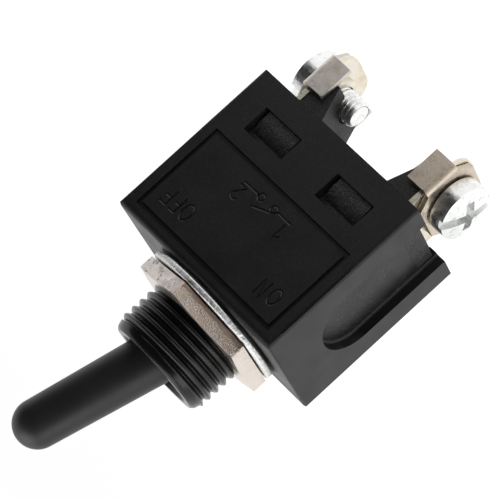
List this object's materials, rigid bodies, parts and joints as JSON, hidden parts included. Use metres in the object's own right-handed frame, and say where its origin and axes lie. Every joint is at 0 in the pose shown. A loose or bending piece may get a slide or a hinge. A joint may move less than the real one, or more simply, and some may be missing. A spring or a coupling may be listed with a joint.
{
  "type": "panel toggle switch",
  "caption": "Single-pole on-off panel toggle switch with a threaded bushing, a rubber-sleeved lever and two screw terminals with saddle clamps.",
  "frame": {"origin": "on the bushing's axis, in the plane of the body's panel seat", "axes": "+Z along the bushing towards the lever, the marked front faces -Y, the off side is at +X and the on side at -X"},
  "size_m": [0.0312, 0.0212, 0.0648],
  "materials": {
    "housing_plastic": "fine-grained black phenolic moulding",
    "base_plastic": "black phenolic moulding",
    "nut_steel": "zinc plated, tumbled",
    "washer_steel": "bright zinc plated, stamped edge",
    "black_rubber": "matt",
    "sleeve_rubber": "satin",
    "inner_steel": "plain turned",
    "nylon": "natural nylon",
    "inner_brass": "plain",
    "contact_silver": "silver alloy",
    "terminal_brass": "nickel plated, dull",
    "clamp_steel": "nickel plated, warm and dull",
    "screw_steel": "bright zinc plated"
  },
  "bodies": {
    "body": {"housing": "housing_plastic", "terminal_base": "base_plastic", "hex_nut": "nut_steel", "washer": "washer_steel", "gasket": "black_rubber", "pivot_pin": "inner_steel", "pin_retainer": "nylon", "fixed_contact": "contact_silver", "terminal_1": "terminal_brass", "terminal_2": "terminal_brass", "clamp_1": "clamp_steel", "clamp_2": "clamp_steel", "screw_1": "screw_steel", "screw_2": "screw_steel"},
    "lever_arm": {"lever": "inner_steel", "sleeve": "sleeve_rubber", "plunger_spring": "inner_steel"},
    "plunger_body": {"plunger": "inner_brass"},
    "rocker_body": {"rocker": "inner_brass", "moving_contact": "contact_silver"}
  },
  "joints": [
    {"name": "lever_tilt", "type": "hinge", "parent": "body", "child": "lever_arm", "pos_m": [0, 0, 0.0057], "axis": [0, -1, 0], "range_deg": [0, 30]},
    {"name": "plunger_slide", "type": "slide", "parent": "lever_arm", "child": "plunger_body", "axis": [0.2588, 0, 0.9659], "range_m": [0, 0.0006], "stiffness_N_per_m": 800, "springref_m": -0.002, "deforming": ["plunger_spring"]},
    {"name": "rocker_tilt", "type": "hinge", "parent": "body", "child": "rocker_body", "pos_m": [0, 0, -0.012], "axis": [0, 1, 0], "range_deg": [0, 16]}
  ],
  "couplings": [
    {"joint": "rocker_tilt", "follows": "lever_tilt", "ratio": 0.53333}
  ]
}
